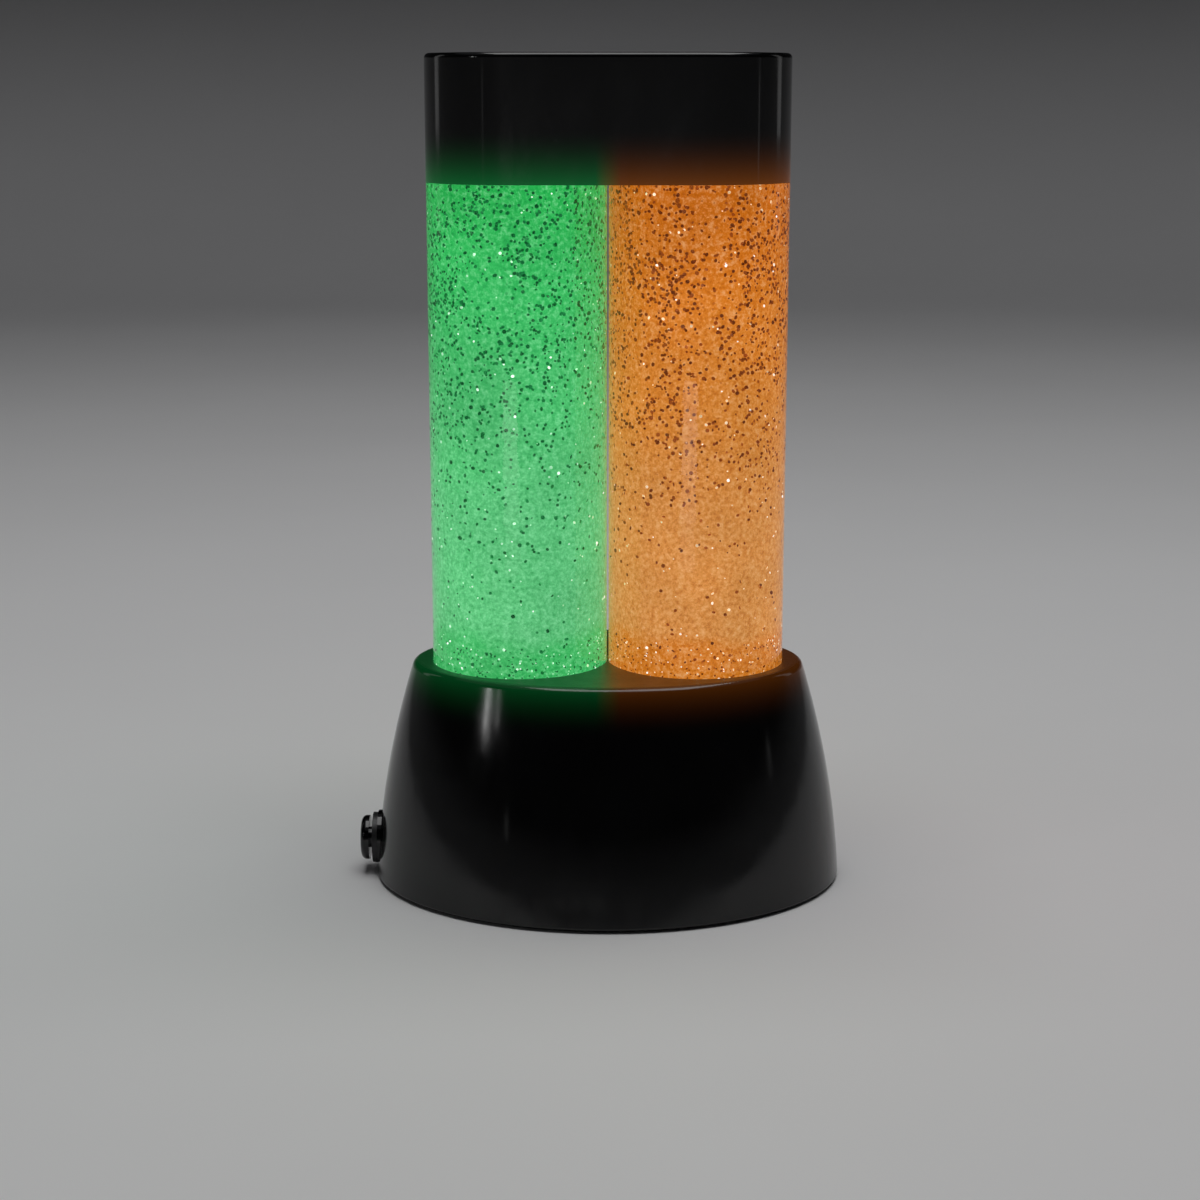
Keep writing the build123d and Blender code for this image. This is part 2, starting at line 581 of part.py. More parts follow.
def board_screws():
    places = [(0, -BOARD_BOSS_Y), (0, BOARD_BOSS_Y)]
    return Compound(children=[pan_screw(x, y, BOARD_Z, BOARD_SCREW_LENGTH) for x, y in places])


# ---------------------------------------------------------------- wiring
def lead_positive():
    """Battery positive tab to the top of the board, over the board's right-hand end."""
    x, y = terminal_places()[0]
    start = x + CONTACT_THICKNESS / 2
    z = BAY_TOP + TAB_RISE / 2
    bend = [(36.5, y, z), (43.5, -11, 27.5), (43.5, -9.5, 33), (35.5, -9, 35.5)]
    return lead([(start, y, z)] + bend + [(35.5, -9, BOARD_TOP)])


def lead_negative():
    """Battery negative tab down to the switch's rear lug."""
    x, y = terminal_places()[1]
    start = x - CONTACT_THICKNESS / 2
    z = BAY_TOP + TAB_RISE / 2
    lug = LUG_SPREAD + LUG_THICKNESS / 2
    height = SWITCH_HEIGHT
    bend = [(-36, y, z), (-39.5, 13, 14.5), (LUG_MIDDLE, 8, height)]
    return lead([(start, y, z)] + bend + [(LUG_MIDDLE, lug, height)])


def lead_switched():
    """Switch's front lug up to the underside of the board."""
    lug = LUG_SPREAD + LUG_THICKNESS / 2
    height = SWITCH_HEIGHT
    middle = [(-40, -11.5, 14.5), (-37.5, -10, 19), (-35, -8.5, 22.3)]
    return lead([(LUG_MIDDLE, -lug, height), (LUG_MIDDLE, -8, height)] + middle + [(-35, -8.5, BOARD_Z)])


def save(name, shape):
    shape.label = name
    export_step(shape, "parts/" + name + ".step")


def main():
    os.makedirs("parts", exist_ok=True)
    save("base_shell", base_shell())
    save("base_plate", base_plate())
    save("anti_slip_ring", anti_slip_ring())
    save("battery_door", battery_door())
    for index in range(CELL_COUNT):
        save("battery_cell_%d" % (index + 1), battery_cell(index))
    save("battery_contacts", battery_contacts())
    save("battery_springs", battery_springs())
    save("base_screws", base_screws())
    save("switch_bezel", switch_bezel())
    save("switch_button", switch_button())
    save("switch_spring", switch_spring())
    save("switch_nut", switch_nut())
    save("switch_housing", switch_housing())
    save("switch_terminals", switch_terminals())
    save("led_board", led_board())
    save("board_resistors", board_resistors())
    save("board_screws", board_screws())
    save("lead_positive", lead_positive())
    save("lead_negative", lead_negative())
    save("lead_switched", lead_switched())
    for name, side in SIDES.items():
        save("led_" + name, led(side))
        save("reflector_" + name, reflector(side))
        save("lens_" + name, lens(side))
        save("tube_gasket_" + name, tube_gasket(side))
        save("tube_" + name, tube(side))
        save("fluid_" + name, fluid(side))
        save("tube_stopper_" + name, tube_stopper(side))
        save("stopper_seal_" + name, stopper_seal(side))
        save("cap_pad_" + name, cap_pad(side))
    save("top_cap", top_cap())


main()
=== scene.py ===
"""Twin-tube glitter lamp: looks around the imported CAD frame. Metres, +Z up, the front faces -Y."""

import math
import random

import bpy
from mathutils import Matrix, Vector, noise

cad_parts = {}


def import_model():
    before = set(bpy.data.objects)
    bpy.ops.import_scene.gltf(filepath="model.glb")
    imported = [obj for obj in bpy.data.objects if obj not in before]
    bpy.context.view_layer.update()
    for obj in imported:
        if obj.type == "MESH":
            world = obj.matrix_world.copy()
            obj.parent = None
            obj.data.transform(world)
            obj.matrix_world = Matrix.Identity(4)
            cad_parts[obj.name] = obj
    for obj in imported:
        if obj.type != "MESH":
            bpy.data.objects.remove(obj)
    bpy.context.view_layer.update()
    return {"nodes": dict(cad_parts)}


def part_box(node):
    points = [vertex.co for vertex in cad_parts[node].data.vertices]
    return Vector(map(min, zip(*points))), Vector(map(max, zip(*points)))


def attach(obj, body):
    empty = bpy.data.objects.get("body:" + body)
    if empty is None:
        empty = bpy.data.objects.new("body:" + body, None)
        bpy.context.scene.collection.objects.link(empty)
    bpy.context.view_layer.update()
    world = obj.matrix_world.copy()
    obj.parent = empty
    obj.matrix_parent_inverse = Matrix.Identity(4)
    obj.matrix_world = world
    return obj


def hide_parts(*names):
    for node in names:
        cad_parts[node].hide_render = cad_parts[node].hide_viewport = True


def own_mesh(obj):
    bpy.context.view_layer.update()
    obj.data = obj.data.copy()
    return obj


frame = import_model()
nodes = frame["nodes"]

MM = 0.001
SIDES = ("left", "right")
LAMP = "lamp_body"

# ---------------------------------------------------------------- places, from the frame
deck_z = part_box("base_shell")[1].z
cap_low, cap_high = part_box("top_cap")
tube_low, tube_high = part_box("tube_left")
cap_z = cap_low.z
top_z = cap_high.z
tube_r = (tube_high.x - tube_low.x) / 2
fluid_low, fluid_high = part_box("fluid_left")
fluid_r = (fluid_high.x - fluid_low.x) / 2


def tube_axis(side):
    low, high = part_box("tube_" + side)
    return (low.x + high.x) / 2


# ---------------------------------------------------------------- material helpers
def principled(name):
    """New material with one Principled node: gives the material, its node tree and that node."""
    mat = bpy.data.materials.new(name)
    mat.use_nodes = True
    return mat, mat.node_tree, mat.node_tree.nodes["Principled BSDF"]


def set_inputs(shader, **values):
    """Sets plain values on a shader's sockets; underscores stand for spaces."""
    for key, value in values.items():
        shader.inputs[key.replace("_", " ")].default_value = value


def feed(nt, shader, socket, value):
    nt.links.new(value, shader.inputs[socket])


def math_node(nt, operation, a, b=0.0):
    node = nt.nodes.new("ShaderNodeMath")
    node.operation = operation
    for socket, value in zip(node.inputs, (a, b)):
        if isinstance(value, (int, float)):
            socket.default_value = value
        else:
            nt.links.new(value, socket)
    return node.outputs[0]


def object_coords(nt):
    """Coordinates that stay with the piece when a joint moves it; at rest they are the frame's own."""
    return nt.nodes.new("ShaderNodeTexCoord").outputs["Object"]


def axis(nt, name):
    split = nt.nodes.new("ShaderNodeSeparateXYZ")
    nt.links.new(object_coords(nt), split.inputs[0])
    return split.outputs[name]


def noise_map(nt, size, detail=2.0, roughness=0.5, distortion=0.0, stretch=(1, 1, 1)):
    """Noise whose blobs are about size metres across."""
    scale = nt.nodes.new("ShaderNodeMapping")
    scale.inputs["Scale"].default_value = [s / size for s in stretch]
    nt.links.new(object_coords(nt), scale.inputs["Vector"])
    tex = nt.nodes.new("ShaderNodeTexNoise")
    set_inputs(tex, Scale=1.0, Detail=detail, Roughness=roughness, Distortion=distortion)
    nt.links.new(scale.outputs[0], tex.inputs["Vector"])
    return tex.outputs["Fac"]


def cells(nt, size):
    """Voronoi distance, in cell widths, for cells about size metres across."""
    tex = nt.nodes.new("ShaderNodeTexVoronoi")
    set_inputs(tex, Scale=1.0 / size)
    nt.links.new(object_coords(nt), tex.inputs["Vector"])
    return tex.outputs["Distance"]


def spread(nt, value, low, high, to_low=0.0, to_high=1.0, smooth=False):
    node = nt.nodes.new("ShaderNodeMapRange")
    node.interpolation_type = "SMOOTHSTEP" if smooth else "LINEAR"
    node.clamp = True
    nt.links.new(value, node.inputs["Value"])
    set_inputs(node, From_Min=low, From_Max=high, To_Min=to_low, To_Max=to_high)
    return node.outputs["Result"]


def ramp(nt, value, stops, mode="LINEAR"):
    node = nt.nodes.new("ShaderNodeValToRGB")
    node.color_ramp.interpolation = mode
    elements = node.color_ramp.elements
    while len(elements) < len(stops):
        elements.new(0.5)
    for element, (place, colour) in zip(elements, stops):
        element.position = place
        element.color = (*colour, 1)
    nt.links.new(value, node.inputs["Fac"])
    return node.outputs["Color"]


def mix_colour(nt, factor, a, b):
    node = nt.nodes.new("ShaderNodeMix")
    node.data_type = "RGBA"
    for socket, value in ((node.inputs[0], factor), (node.inputs[6], a), (node.inputs[7], b)):
        if isinstance(value, (int, float)):
            socket.default_value = value
        elif isinstance(value, tuple):
            socket.default_value = (*value, 1)
        else:
            nt.links.new(value, socket)
    return node.outputs[2]


def bump(nt, shader, height, distance, strength=1.0):
    node = nt.nodes.new("ShaderNodeBump")
    set_inputs(node, Strength=strength, Distance=distance)
    nt.links.new(height, node.inputs["Height"])
    feed(nt, shader, "Normal", node.outputs[0])


# ---------------------------------------------------------------- black plastics
# Colours of the painted glow that stands for the tubes' light on the black mouldings next to them.
PAINTED_GLOW_GREEN = (0.004, 0.42, 0.085)
PAINTED_GLOW_ORANGE = (0.52, 0.13, 0.006)
GRAIN_RELIEF = 3.0


def painted_glow_colour(nt):
    """Colour of the painted glow: green on the left half, orange on the right, with a narrow blend
    between.
    """
    across = spread(nt, axis(nt, "X"), -3 * MM, 3 * MM)
    return ramp(nt, across, [(0.0, PAINTED_GLOW_GREEN), (1.0, PAINTED_GLOW_ORANGE)])


def gloss_black(name, painted_glow_from=None, painted_glow_to=None, glow=0.0, grain_above=None):
    """High-gloss black moulding. With glow set, it carries a painted glow in the tubes' colours that
    stands for their light, strongest at the first given height and fading towards the second. Level
    faces above grain_above are finely grained instead of glossy."""
    mat, nt, shader = principled(name)
    cloud = noise_map(nt, 18 * MM, detail=3)
    pigment = ramp(nt, cloud, [(0.3, (0.0010, 0.0010, 0.0011)), (0.75, (0.0022, 0.0022, 0.0024))])
    feed(nt, shader, "Base Color", pigment)
    wipe = noise_map(nt, 7 * MM, detail=5, roughness=0.65, stretch=(1, 1, 0.35))
    gloss = spread(nt, wipe, 0.35, 0.75, 0.075, 0.17)
    dust = spread(nt, cells(nt, 1.9 * MM), 0.0, 0.07, 0.35, 0.0)
    gloss = math_node(nt, "ADD", gloss, dust)
    ripple = noise_map(nt, 2.4 * MM, detail=1)
    height = math_node(nt, "MULTIPLY", ripple, 0.12)
    if grain_above is not None:
        level = nt.nodes.new("ShaderNodeSeparateXYZ")
        geometry = nt.nodes.new("ShaderNodeNewGeometry")
        nt.links.new(geometry.outputs["Normal"], level.inputs[0])
        flat = spread(nt, level.outputs["Z"], 0.80, 0.97, smooth=True)
        high = spread(nt, axis(nt, "Z"), grain_above, grain_above + 0.2 * MM)
        mask = math_node(nt, "MULTIPLY", flat, high)
        grain = noise_map(nt, 0.55 * MM, detail=2, roughness=0.6)
        gloss = math_node(nt, "ADD", gloss, math_node(nt, "MULTIPLY", mask, 0.27))
        relief = math_node(nt, "MULTIPLY", math_node(nt, "MULTIPLY", mask, grain), GRAIN_RELIEF)
        height = math_node(nt, "ADD", height, relief)
    feed(nt, shader, "Roughness", gloss)
    bump(nt, shader, height, 0.03 * MM, 0.6)
    # Painted glow: emission in the tubes' colours, fading away from the tubes.
    if glow:
        painted_glow_fade = spread(nt, axis(nt, "Z"), painted_glow_from, painted_glow_to, 1.0, 0.0)
        painted_glow_fade = math_node(nt, "MULTIPLY", math_node(nt, "POWER", painted_glow_fade, 2.6), glow)
        feed(nt, shader, "Emission Color", painted_glow_colour(nt))
        feed(nt, shader, "Emission Strength", painted_glow_fade)
    set_inputs(shader, IOR=1.5)
    return mat


def satin_black(name, grain=0.45 * MM):
    """Spark-eroded black moulding for the underside and the switch."""
    mat, nt, shader = principled(name)
    fine = noise_map(nt, grain, detail=2, roughness=0.6)
    cloud = noise_map(nt, 14 * MM, detail=3)
    pigment = ramp(nt, cloud, [(0.3, (0.011, 0.011, 0.012)), (0.75, (0.02, 0.02, 0.021))])
    feed(nt, shader, "Base Color", pigment)
    feed(nt, shader, "Roughness", spread(nt, fine, 0.3, 0.7, 0.34, 0.5))
    bump(nt, shader, fine, 0.05 * MM, 0.7)
    set_inputs(shader, IOR=1.5)
    return mat


def rubber(name, dark, light):
    mat, nt, shader = principled(name)
    fine = noise_map(nt, 0.3 * MM, detail=3, roughness=0.7)
    cloud = noise_map(nt, 9 * MM, detail=4)
    feed(nt, shader, "Base Color", ramp(nt, cloud, [(0.3, dark), (0.75, light)]))
    feed(nt, shader, "Roughness", spread(nt, fine, 0.3, 0.7, 0.68, 0.88))
    bump(nt, shader, fine, 0.06 * MM, 0.8)
    set_inputs(shader, Specular_IOR_Level=0.35)
    return mat


# ---------------------------------------------------------------- tubes and liquid
def acrylic():
    """Polished clear acrylic with faint handling marks. A low index keeps each tube from mirroring its
    neighbour's colour."""
    mat, nt, shader = principled("clear_acrylic")
    marks = noise_map(nt, 3 * MM, detail=6, roughness=0.7, stretch=(1, 1, 0.25))
    feed(nt, shader, "Roughness", spread(nt, marks, 0.45, 0.8, 0.012, 0.07))
    tint = noise_map(nt, 30 * MM)
    body = ramp(nt, tint, [(0.3, (0.96, 0.985, 0.975)), (0.7, (0.985, 0.995, 0.99))])
    feed(nt, shader, "Base Color", body)
    wave = noise_map(nt, 12 * MM, detail=1, stretch=(1, 1, 0.3))
    bump(nt, shader, wave, 0.02 * MM, 0.5)
    set_inputs(shader, Transmission_Weight=1.0, IOR=1.28)
    return mat


def acrylic_bore():
    """The wall's inner face, wetted by the liquid: it bends no light and shows no reflection."""
    mat, nt, shader = principled("wetted_bore")
    film = noise_map(nt, 20 * MM)
    body = ramp(nt, film, [(0.3, (0.97, 0.98, 0.975)), (0.7, (0.99, 0.995, 0.99))])
    feed(nt, shader, "Base Color", body)
    set_inputs(shader, Transmission_Weight=1.0, IOR=1.0, Roughness=0.0, Specular_IOR_Level=0.0)
    return mat


# In each look, "flake" and "spark" are the emission colours of the flakes' painted glow and painted
# glints.
LIQUIDS = {
    "left": {
        "slot": "liquid_green",
        "stops": [
            (0.00, (0.050, 0.46, 0.122)),
            (0.065, (0.052, 0.46, 0.125)),
            (0.095, (0.108, 0.50, 0.190)),
            (0.32, (0.100, 0.485, 0.182)),
            (0.53, (0.070, 0.475, 0.150)),
            (0.79, (0.036, 0.450, 0.106)),
            (1.00, (0.018, 0.410, 0.072)),
        ],
        "deep": (0.006, 0.22, 0.045),
        "pale": (0.30, 0.80, 0.42),
        "flake": ((0.002, 0.075, 0.018), (0.010, 0.18, 0.05)),
        "spark": (0.50, 1.0, 0.60),
        "base": (0.01, 0.10, 0.03),
    },
    "right": {
        "slot": "liquid_orange",
        "stops": [
            (0.00, (0.60, 0.182, 0.014)),
            (0.065, (0.60, 0.185, 0.015)),
            (0.095, (0.61, 0.250, 0.055)),
            (0.32, (0.61, 0.245, 0.052)),
            (0.53, (0.62, 0.215, 0.026)),
            (0.79, (0.59, 0.172, 0.010)),
            (1.00, (0.55, 0.132, 0.003)),
        ],
        "deep": (0.30, 0.060, 0.003),
        "pale": (0.85, 0.52, 0.25),
        "flake": ((0.10, 0.016, 0.003), (0.26, 0.06, 0.008)),
        "spark": (1.0, 0.72, 0.42),
        "base": (0.10, 0.03, 0.004),
    },
}


def liquid(side):
    """Glowing liquid: a vertical change of colour, slow clouds, and flakes too deep to see sharply."""
    look = LIQUIDS[side]
    mat, nt, shader = principled("glow_" + side)
    height = spread(nt, axis(nt, "Z"), deck_z - 1 * MM, cap_z)
    wave = noise_map(nt, 16 * MM, detail=3, distortion=0.6)
    height = math_node(nt, "ADD", height, spread(nt, wave, 0.3, 0.7, -0.018, 0.018))
    colour = ramp(nt, height, look["stops"])
    shimmer = noise_map(nt, 1.1 * MM, detail=4, roughness=0.8)
    colour = mix_colour(nt, spread(nt, shimmer, 0.50, 0.66, 0.0, 0.60), colour, look["deep"])
    colour = mix_colour(nt, spread(nt, shimmer, 0.50, 0.34, 0.0, 0.44), colour, look["pale"])
    specks = cells(nt, 1.7 * MM)
    crowd = noise_map(nt, 9 * MM, detail=2)
    crowding = spread(nt, crowd, 0.38, 0.62, 0.06, 0.30)
    reach = math_node(nt, "MULTIPLY", crowding, spread(nt, height, 0.2, 0.75, 0.35, 1.0))
    near = math_node(nt, "SUBTRACT", reach, specks)
    shadow = spread(nt, near, 0.0, 0.10, 0.0, 0.62, smooth=True)
    colour = mix_colour(nt, shadow, colour, look["deep"])
    feed(nt, shader, "Emission Color", colour)
    cloud = noise_map(nt, 26 * MM, detail=2)
    feed(nt, shader, "Emission Strength", spread(nt, cloud, 0.25, 0.75, 0.90, 1.10))
    unlit = mix_colour(nt, spread(nt, cloud, 0.3, 0.7), look["base"], look["deep"])
    feed(nt, shader, "Base Color", unlit)
    feed(nt, shader, "Roughness", spread(nt, shimmer, 0.3, 0.7, 0.35, 0.6))
    set_inputs(shader, Specular_IOR_Level=0.2)
    return mat


def flake_material(side, bright):
    """Metallised film flakes, each with its own shade: dark ones with a faint painted glow in the
    liquid's colour, bright ones with a painted glint, both given as emission.
    """
    look = LIQUIDS[side]
    mat, nt, shader = principled(("spark_" if bright else "flake_") + side)
    shade = nt.nodes.new("ShaderNodeNewGeometry").outputs["Random Per Island"]
    grain = noise_map(nt, 0.25 * MM)
    if bright:
        # Painted glint: the bright flakes emit a pale light of their own in place of a reflected
        # highlight.
        painted_glint = ramp(nt, shade, [(0.0, look["pale"]), (0.6, look["spark"]), (1.0, (1, 1, 1))])
        feed(nt, shader, "Emission Color", painted_glint)
        feed(nt, shader, "Emission Strength", spread(nt, shade, 0.0, 1.0, 0.75, 1.15))
        film = ramp(nt, grain, [(0.3, (0.7, 0.7, 0.7)), (0.7, (0.9, 0.9, 0.9))])
        feed(nt, shader, "Base Color", film)
    else:
        low, high = look["flake"]
        # Painted glow: the dark flakes emit a faint light in the liquid's colour.
        feed(nt, shader, "Emission Color", ramp(nt, shade, [(0.0, low), (1.0, high)]))
        feed(nt, shader, "Emission Strength", spread(nt, grain, 0.3, 0.7, 0.7, 1.0))
        feed(nt, shader, "Base Color", ramp(nt, shade, [(0.0, look["base"]), (1.0, look["deep"])]))
    feed(nt, shader, "Roughness", spread(nt, grain, 0.3, 0.7, 0.2, 0.4))
    set_inputs(shader, Metallic=0.6)
    return mat


# ---------------------------------------------------------------- mesh helpers
def new_piece(name, verts, faces, materials, face_materials=None, smooth=True):
    mesh = bpy.data.meshes.new(name)
    mesh.from_pydata(verts, [], faces)
    mesh.update()
    for material in materials:
        mesh.materials.append(material)
    if face_materials:
        mesh.polygons.foreach_set("material_index", face_materials)
    piece = bpy.data.objects.new(name, mesh)
    bpy.context.scene.collection.objects.link(piece)
    if smooth:
        mesh.shade_smooth()
        mesh.set_sharp_from_angle(angle=math.radians(32))
    return piece


def arc(centre_r, centre_z, radius, start, end, steps=5):
    """Points of a rounded profile corner, angles in degrees from +r towards +z."""
    turns = [math.radians(start + (end - start) * i / steps) for i in range(steps + 1)]
    return [(centre_r + radius * math.cos(a), centre_z + radius * math.sin(a)) for a in turns]


def lathe(name, profile, centre_x, materials, face_index=None, segments=144):
    """Closed solid turned from a profile of (radius, z) points. Points at radius 0 become poles."""
    verts = []
    rings = []
    for radius, z in profile:
        if radius < 1e-9:
            rings.append([len(verts)])
            verts.append((centre_x, 0.0, z))
            continue
        rings.append(list(range(len(verts), len(verts) + segments)))
        for i in range(segments):
            turn = 2 * math.pi * i / segments
            verts.append((centre_x + radius * math.cos(turn), radius * math.sin(turn), z))
    faces = []
    indices = []
    pairs = list(zip(rings, rings[1:] + rings[:1]))
    for k, (a, b) in enumerate(pairs):
        if len(a) == 1 and len(b) == 1:
            continue
        for i in range(segments):
            j = (i + 1) % segments
            if len(a) == 1:
                faces.append((a[0], b[j], b[i]))
            elif len(b) == 1:
                faces.append((a[i], a[j], b[0]))
            else:
                faces.append((a[i], a[j], b[j], b[i]))
            indices.append(face_index[k] if face_index else 0)
    return new_piece(name, verts, faces, materials, indices)


# ---------------------------------------------------------------- tubes, liquid and glitter
TUBE_WALL = tube_r - fluid_r - 0.05 * MM
BORE_R = tube_r - TUBE_WALL
TUBE_FLOOR_Z = fluid_low.z - 0.05 * MM
NECK_R = tube_r - 1.6 * MM
EDGE = 0.35 * MM
CORE_INSET = 0.95 * MM
FLAKE_DEPTH = 0.42 * MM      # middle of the flakes' band, in from the bore
FLAKE_R = 0.46 * MM
FLAKE_THICKNESS = 0.035 * MM
FLAKE_DRIFT = 0.12 * MM
FLAKE_FACES = 8              # two hexagons and six sides
DARK_FLAKES = 3800
DARK_SIZES = (0.55, 0.75, 0.85, 0.95, 1.05, 1.05, 1.25)
# Number and sizes of the flakes with a painted glint.
SPARK_FLAKES = 300
SPARK_SIZES = (0.4, 0.5, 0.7, 0.95)
SETTLED_FLAKES = 700
SETTLED_DEPTH = 11 * MM
# Share of the settled flakes with a painted glint.
SETTLED_BRIGHT = 0.30


def build_tube(side):
    x = tube_axis(side)
    low = tube_low.z
    top = tube_high.z
    profile = [(0.0, low)]
    profile += arc(tube_r - EDGE, low + EDGE, EDGE, -90, 0)
    profile += arc(tube_r - EDGE, cap_z - EDGE, EDGE, 0, 90)
    profile += [(NECK_R, cap_z)]
    profile += arc(NECK_R - EDGE, top - EDGE, EDGE, 0, 90)
    outside = len(profile) - 1
    profile += [(BORE_R, top)]
    profile += arc(BORE_R - 2 * EDGE, TUBE_FLOOR_Z + 2 * EDGE, 2 * EDGE, 0, -90)
    profile += [(0.0, TUBE_FLOOR_Z)]
    index = [0] * (outside + 1) + [1] * (len(profile) - outside - 1)
    piece = lathe("tube_clear_" + side, profile, x, [CLEAR, BORE], index)
    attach(piece, LAMP)
    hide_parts("tube_" + side)


def build_liquid(side):
    x = tube_axis(side)
    radius = BORE_R - CORE_INSET
    low = TUBE_FLOOR_Z + 0.1 * MM
    high = fluid_high.z
    profile = [(0.0, low)]
    profile += arc(radius - 1.5 * MM, low + 1.5 * MM, 1.5 * MM, -90, 0, steps=8)
    profile += [(radius, low + (high - low) * i / 12) for i in range(1, 12)]
    profile += arc(radius - 0.5 * MM, high - 0.5 * MM, 0.5 * MM, 0, 90)
    profile += [(0.0, high)]
    piece = lathe("liquid_" + side, profile, x, [LIQUID[side]])
    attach(piece, LAMP)
    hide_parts("fluid_" + side)


def add_flake(verts, faces, centre, facing, spin, radius, stretch):
    """One hexagonal film flake as a thin closed prism."""
    basis = facing.to_track_quat("Z", "Y").to_matrix() @ Matrix.Rotation(spin, 3, "Z")
    first = len(verts)
    for level in (-0.5, 0.5):
        for i in range(6):
            turn = math.pi * i / 3
            height = level * FLAKE_THICKNESS
            point = Vector((radius * math.cos(turn), radius * stretch * math.sin(turn), height))
            verts.append(tuple(centre + basis @ point))
    faces.append(tuple(first + i for i in reversed(range(6))))
    faces.append(tuple(first + 6 + i for i in range(6)))
    for i in range(6):
        j = (i + 1) % 6
        faces.append((first + i, first + j, first + 6 + j, first + 6 + i))


def dark_density(share, seed_point):
    """Share of the fullest crowd at a height: dense near the top, sparse below, in drifting clusters."""
    rise = min(max((share - 0.18) / 0.62, 0.0), 1.0)
    crowd = 0.62 + 0.8 * noise.noise(seed_point * 95 + Vector((3.1, 7.7, 1.9)))
    return (0.06 + 0.94 * rise * rise * (3 - 2 * rise)) * min(max(crowd, 0.06), 1.0)


def build_glitter(side, seed):
    draw = random.Random(seed)
    x = tube_axis(side)
    verts = []
    faces = []
    index = []

    def aim(z, turn, tilt):
        """Place and facing of a flake just inside the bore."""
        out = Vector((math.cos(turn), math.sin(turn), 0))
        reach = BORE_R - FLAKE_DEPTH + draw.uniform(-FLAKE_DRIFT, FLAKE_DRIFT)
        facing = (out + Vector([draw.gauss(0, tilt) for _ in range(3)])).normalized()
        return Vector((x, 0, z)) + out * reach, facing

    def drop(centre, facing, radius, bright):
        spin = draw.uniform(0, math.pi)
        stretch = draw.uniform(0.7, 1.0)
        add_flake(verts, faces, centre, facing, spin, radius, stretch)
        index.extend([1 if bright else 0] * FLAKE_FACES)

    low = deck_z
    high = cap_z + 6 * MM
    made = 0
    while made < DARK_FLAKES:
        z = draw.uniform(low, high)
        turn = draw.uniform(0, 2 * math.pi)
        spot = Vector((x + BORE_R * math.cos(turn), BORE_R * math.sin(turn), z))
        if draw.random() > dark_density((z - low) / (cap_z - low), spot):
            continue
        centre, facing = aim(z, turn, 0.28)
        drop(centre, facing, FLAKE_R * draw.choice(DARK_SIZES), False)
        made += 1
    for _ in range(SPARK_FLAKES):
        z = draw.uniform(low, high)
        radius = FLAKE_R * draw.choice(SPARK_SIZES)
        centre, facing = aim(z, draw.uniform(0, 2 * math.pi), 0.25)
        drop(centre, facing, radius, True)
    for _ in range(SETTLED_FLAKES):
        z = TUBE_FLOOR_Z + 1.5 * MM + SETTLED_DEPTH * draw.random() ** 1.3
        radius = FLAKE_R * draw.uniform(0.35, 0.75)
        bright = draw.random() < SETTLED_BRIGHT
        centre, facing = aim(z, draw.uniform(0, 2 * math.pi), 0.4)
        drop(centre, facing, radius, bright)
    piece = new_piece("glitter_" + side, verts, faces, [FLAKE[side], SPARK[side]], index, smooth=False)
    piece.visible_glossy = False
    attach(piece, LAMP)


CLEAR = acrylic()
BORE = acrylic_bore()
LIQUID = {side: liquid(side) for side in SIDES}
FLAKE = {side: flake_material(side, False) for side in SIDES}
SPARK = {side: flake_material(side, True) for side in SIDES}
for number, side in enumerate(SIDES):
    build_tube(side)
    build_liquid(side)
    build_glitter(side, 41 + number)


# ---------------------------------------------------------------- inner and underside materials
def metal(name, colour, rough=0.3, brushed=True):
    """Plated or pressed metal with fine draw marks and faint tarnish."""
    mat, nt, shader = principled(name)
    stretch = (0.15, 1, 1) if brushed else (1, 1, 1)
    marks = noise_map(nt, 0.5 * MM, detail=4, roughness=0.7, stretch=stretch)
    tarnish = noise_map(nt, 3.5 * MM, detail=4)
    dull = tuple(c * 0.72 for c in colour)
    feed(nt, shader, "Base Color", ramp(nt, tarnish, [(0.3, dull), (0.65, colour)]))
    feed(nt, shader, "Roughness", spread(nt, marks, 0.3, 0.7, rough * 0.7, rough * 1.3))
    bump(nt, shader, marks, 0.01 * MM, 0.5)
    set_inputs(shader, Metallic=1.0)
    return mat


def moulded(name, dark, light, rough=0.4, grain=0.6 * MM, **values):
    """Plain moulded plastic with soft shade changes and a fine skin."""
    mat, nt, shader = principled(name)
    cloud = noise_map(nt, 8 * MM, detail=3)
    fine = noise_map(nt, grain, detail=2)
    feed(nt, shader, "Base Color", ramp(nt, cloud, [(0.3, dark), (0.7, light)]))
    feed(nt, shader, "Roughness", spread(nt, fine, 0.3, 0.7, rough * 0.8, rough * 1.2))
    bump(nt, shader, fine, 0.02 * MM, 0.5)
    set_inputs(shader, **values)
    return mat


def cell_material(node):
    """Plain grey jacket with a pale band at one end, and bare metal ends."""
    mat, nt, shader = principled("jacket_" + node)
    low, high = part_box(node)
    along = spread(nt, axis(nt, "X"), low.x, high.x)
    steel = (0.45, 0.44, 0.42)
    grey = (0.045, 0.05, 0.06)
    jacket = [(0.0, steel), (0.035, grey), (0.72, (0.42, 0.43, 0.44)), (0.76, grey), (0.955, steel)]
    worn = noise_map(nt, 2 * MM, detail=4)
    colour = ramp(nt, along, jacket, "CONSTANT")
    rubbed = mix_colour(nt, spread(nt, worn, 0.62, 0.75, 0.0, 0.35), colour, (0.3, 0.3, 0.3))
    feed(nt, shader, "Base Color", rubbed)
    ends = ramp(nt, along, [(0.0, (1, 1, 1)), (0.035, (0, 0, 0)), (0.955, (1, 1, 1))], "CONSTANT")
    feed(nt, shader, "Metallic", ends)
    feed(nt, shader, "Roughness", spread(nt, worn, 0.3, 0.7, 0.22, 0.36))
    return mat


